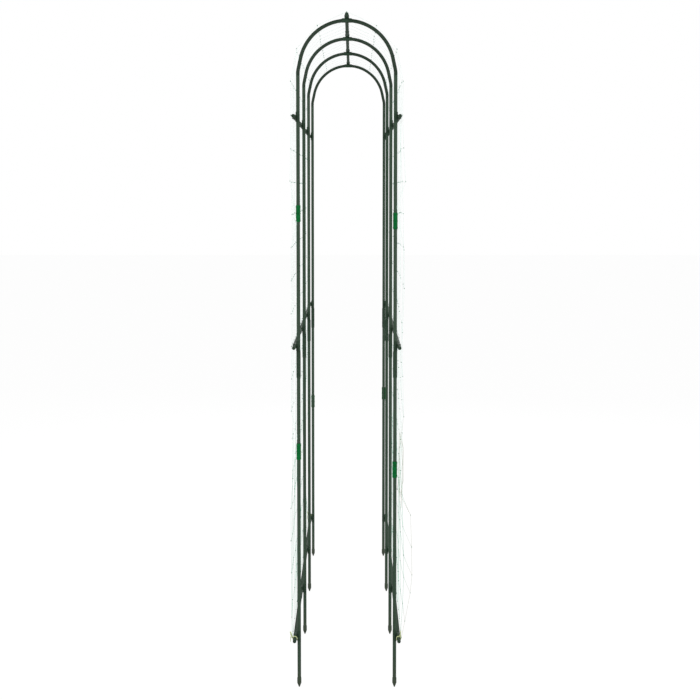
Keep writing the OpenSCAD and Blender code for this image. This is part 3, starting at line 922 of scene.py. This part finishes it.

# %% [markdown]
# Low on the right at the front, one mesh of the free edge has folded over on itself. Its strands
# hang side by side, and the twine there is cream.

# %% The folded mesh
FOLD_R = 0.00045
FOLD_DEPTH = 0.012
FOLD_STRANDS = [
    [(0.1600, 0.790), (0.1585, 0.735), (0.1605, 0.668), (0.1590, 0.620), (0.1615, 0.575)],
    [(0.1600, 0.790), (0.1665, 0.765), (0.1690, 0.700), (0.1672, 0.630), (0.1650, 0.560)],
    [(0.1665, 0.765), (0.1722, 0.742), (0.1708, 0.690), (0.1712, 0.640), (0.1672, 0.630)],
    [(0.1590, 0.620), (0.1648, 0.600), (0.1672, 0.630)]]
folded = []
for strand in FOLD_STRANDS:
    bends = []
    for x, z in strand:
        depth = FOLD_DEPTH * noise.noise(Vector((x * 90, z * 9, 0)))
        bends.append(Vector((x, NET_FRONT + depth, z)))
    folded.append(strung(bends, 0, 1))
run_tree("net_fold", path_mesh("fold", folded), cord_tree, "net_twine", [],
         Radius=FOLD_R, Sides=6, Finish=net_twine)

# %% [markdown]
# The knots are small: two tight loops of the same twine around the crossing. One light prototype
# of two rings is repeated more than seven hundred times, and the tree tumbles each copy.

# %% Knots
KNOT_R, KNOT_THICK = 0.0011, 0.0007
KNOT_TILTS = (0.5, 2.2)
KNOT_SIDES = (8, 5)  # around the ring, and around its cord


def knot_prototype():
    """Two tilted rings, which store their own lay."""
    shape = bmesh.new()
    around, through = KNOT_SIDES
    lays = []
    for tilt in KNOT_TILTS:
        grid = []
        for i in range(around):
            a = 2 * math.pi * i / around
            ring = []
            for j in range(through):
                b = 2 * math.pi * j / through
                r = KNOT_R + KNOT_THICK * math.cos(b)
                place = Vector((r * math.cos(a), r * math.sin(a), KNOT_THICK * math.sin(b)))
                ring.append(shape.verts.new(Matrix.Rotation(tilt, 3, "X") @ place))
                lays.append((math.cos(b), math.sin(b), KNOT_R * a))
            grid.append(ring)
        for i in range(around):
            for j in range(through):
                n, m = (i + 1) % around, (j + 1) % through
                shape.faces.new((grid[i][j], grid[n][j], grid[n][m], grid[i][m]))
    bmesh.ops.recalc_face_normals(shape, faces=shape.faces)
    mesh = bpy.data.meshes.new("knot")
    shape.to_mesh(mesh)
    shape.free()
    stored = mesh.attributes.new("lay", "FLOAT_VECTOR", "POINT")
    for i, value in enumerate(lays):
        stored.data[i].vector = value
    mesh.shade_smooth()
    return hide(link_object("knot", mesh))


knot_spots = [(place, (0, 0, 0)) for place in knots.values()]
run_tree("net_knots", point_mesh("knots", knot_spots), set_out_tree, "net_twine", [],
         Prototype=knot_prototype(), Tumble=1.0, Smallest=0.75, Seed=11, Finish=net_knot)

# %% [markdown]
# ## Ties
# At each end of the lower rails the corner of the net is bound on with a short length of soft
# cord: three turns round the rail and the gathered twines, an overhand knot on the outside, a
# small loop that was pulled through, and two loose ends. Each tie is drawn as four curved paths.

# %% Four ties
TIE_R = 0.0009
TIE_TURNS = 3
TURN_STEPS, LOOP_STEPS, TAIL_STEPS, BOW_STEPS = 16, 24, 10, 16
TURN_GAP = 0.0003  # between the rail and the cord, and how much that differs
TURN_PITCH = 2.15  # from one turn to the next, in radii of the cord
KNOT_ANGLE = {-1: math.radians(30), 1: math.radians(65)}
KNOT_OUT = 0.0022
LOOP_R, LOOP_SWELL, LOOP_OUT = 0.0019, 0.0009, 0.0014
BOW_REACH, BOW_RANGE = 0.006, 0.003

# Of the two loose ends: lean, least droop and its range, least length and curl
TAILS = [(-0.5, -0.75, -0.3, 0.018, 0.25), (0.45, 0.3, 0.5, 0.016, 0.3)]
TAIL_RANGE = 0.008


def tie_path(side, end, rng):
    """The turns round the rail with one loose end, the knot, a pulled loop and the other end."""
    turn_r = tube_r + TIE_R + TURN_GAP
    lie = Vector((side * rail_x, end * TIE_Y, lower_z))
    at = KNOT_ANGLE[side]
    outward, across = Vector((side * math.cos(at), 0, math.sin(at))), Vector((0, end, 0))
    rise = Vector((-side * math.sin(at), 0, math.cos(at)))
    knot = lie + outward * (turn_r + KNOT_OUT)
    wound = []
    for k in range(TIE_TURNS * TURN_STEPS + 1):
        a = 2 * math.pi * k / TURN_STEPS
        spread = (k / (TIE_TURNS * TURN_STEPS) - 0.5) * TIE_TURNS * TIE_R * TURN_PITCH
        r = turn_r + TURN_GAP * math.sin(3 * a + end)
        wound.append(lie + outward * (r * math.cos(a)) + rise * (r * math.sin(a))
                     + Vector((0, spread, 0)))
    loops = []
    for k in range(LOOP_STEPS + 1):
        a = 2 * math.pi * k / LOOP_STEPS
        r = LOOP_R + LOOP_SWELL * math.cos(1.5 * a)
        loops.append(knot + outward * (LOOP_OUT * math.sin(1.5 * a)) + across * (r * math.cos(a))
                     + rise * (r * math.sin(a)))

    def tail(lean, drop, length, curl):
        """A loose end that sways and droops or stands up."""
        points = []
        for k in range(1, TAIL_STEPS + 1):
            u = k / TAIL_STEPS
            out = 0.002 + length * (0.40 * u - 0.18 * u * u)
            sway = lean * length * (u + curl * math.sin(2.6 * u))
            points.append(knot + outward * out + across * sway
                          + Vector((0, 0, drop * length * u * u + 0.003 * math.sin(3 * u))))
        return points

    first, second = [
        tail(lean, drop + drop_range * rng.random(), length + TAIL_RANGE * rng.random(), curl)
        for lean, drop, drop_range, length, curl in TAILS]
    reach = BOW_REACH + BOW_RANGE * rng.random()
    bow = []
    for k in range(BOW_STEPS + 1):
        a = 2 * math.pi * k / BOW_STEPS
        open_up = (1 - math.cos(a)) / 2
        bow.append(knot + outward * (reach * 0.6 * open_up)
                   + across * (0.45 * reach * math.sin(a))
                   + Vector((side * 0.001, 0, 1.6 * reach)) * open_up)
    return [list(reversed(first)) + wound, loops, bow, [knot] + second]


rng = random.Random(5)
cords = []
for side in (-1, 1):
    for end in (-1, 1):
        cords += tie_path(side, end, rng)
run_tree("ties_for_net", path_mesh("ties", cords), cord_tree, "tie_cord", ["net_ties"],
         Radius=TIE_R, Sides=8, Finish=tie_cord)

# %% [markdown]
# ## Floor, light and camera
# The object stands on a plain white floor in a white surround. The surround and the floor look
# white to the camera, while the light that reaches the object stays soft and moderate. The camera
# stands at eye height, almost on the tunnel's axis, a few metres in front of the first hoop.

# %% White surround
FLOOR = 30.0  # half its width
CAMERA_WHITE, SOFT_LIGHT = 1.0, 0.62  # strength of the surround to the camera, and as light
FLOOR_GLOW, FLOOR_WHITE = 0.88, 1.045  # how much of the floor glows to the camera, and its glow
bpy.context.scene.view_settings.view_transform = "Standard"
world = bpy.data.worlds.new("white_surround")
bpy.context.scene.world = world
world.use_nodes = True
tree = world.node_tree
seen = add(tree, "ShaderNodeLightPath").outputs["Is Camera Ray"]
strength = maths(tree, "MULTIPLY_ADD", seen, CAMERA_WHITE - SOFT_LIGHT, SOFT_LIGHT)
tree.links.new(strength, tree.nodes["Background"].inputs["Strength"])
tree.nodes["Background"].inputs["Color"].default_value = (1, 1, 1, 1)

floor_mesh = bpy.data.meshes.new("floor")
corners = [(x * FLOOR, y * FLOOR, 0) for x, y in ((-1, -1), (1, -1), (1, 1), (-1, 1))]
floor_mesh.from_pydata(corners, [], [(0, 1, 2, 3)])
floor = link_object("floor", floor_mesh)
floor_finish, tree, surface = new_material("floor_white", (0.85, 0.85, 0.85), 0.9, 0.0)
seen = add(tree, "ShaderNodeLightPath").outputs["Is Camera Ray"]
white = add(tree, "ShaderNodeEmission", {"Color": (1, 1, 1, 1), "Strength": FLOOR_WHITE})
blend = add(tree, "ShaderNodeMixShader", {
    0: maths(tree, "MULTIPLY", seen, FLOOR_GLOW),
    1: tree.nodes["Principled BSDF"].outputs["BSDF"], 2: white.outputs["Emission"]})
tree.links.new(blend.outputs["Shader"], tree.nodes["Material Output"].inputs["Surface"])
floor_mesh.materials.append(floor_finish)


# %% Lights
def area_light(name, place, target, size, power):
    """A round lamp that looks at a point."""
    lamp = bpy.data.lights.new(name, "AREA")
    lamp.energy = power
    lamp.shape = "DISK"
    lamp.size = size
    thing = link_object(name, lamp)
    thing.location = place
    thing.rotation_euler = (Vector(target) - Vector(place)).to_track_quat("-Z", "Y").to_euler()
    return thing


area_light("key", (-2.6, -3.4, 3.6), (0, 0, 1.1), 2.4, 90)
area_light("fill", (3.0, -2.6, 2.2), (0, 0, 1.0), 2.6, 50)
area_light("rear", (0.6, 3.8, 3.4), (0, 0, 1.2), 2.6, 60)

# %% Camera
SENSOR, LENS = 36, 78.29
SHIFT_Y = -0.07
EYE = (0.0165, -5.4174, 1.5252)
TILT_DOWN, TURN_LEFT = 4.202, 0.085
camera = bpy.data.cameras.new("camera")
camera.sensor_width = SENSOR
camera.lens = LENS
camera.shift_y = SHIFT_Y
eye = link_object("camera", camera)
eye.location = EYE
eye.rotation_euler = (math.radians(90 - TILT_DOWN), 0, math.radians(TURN_LEFT))
bpy.context.scene.camera = eye
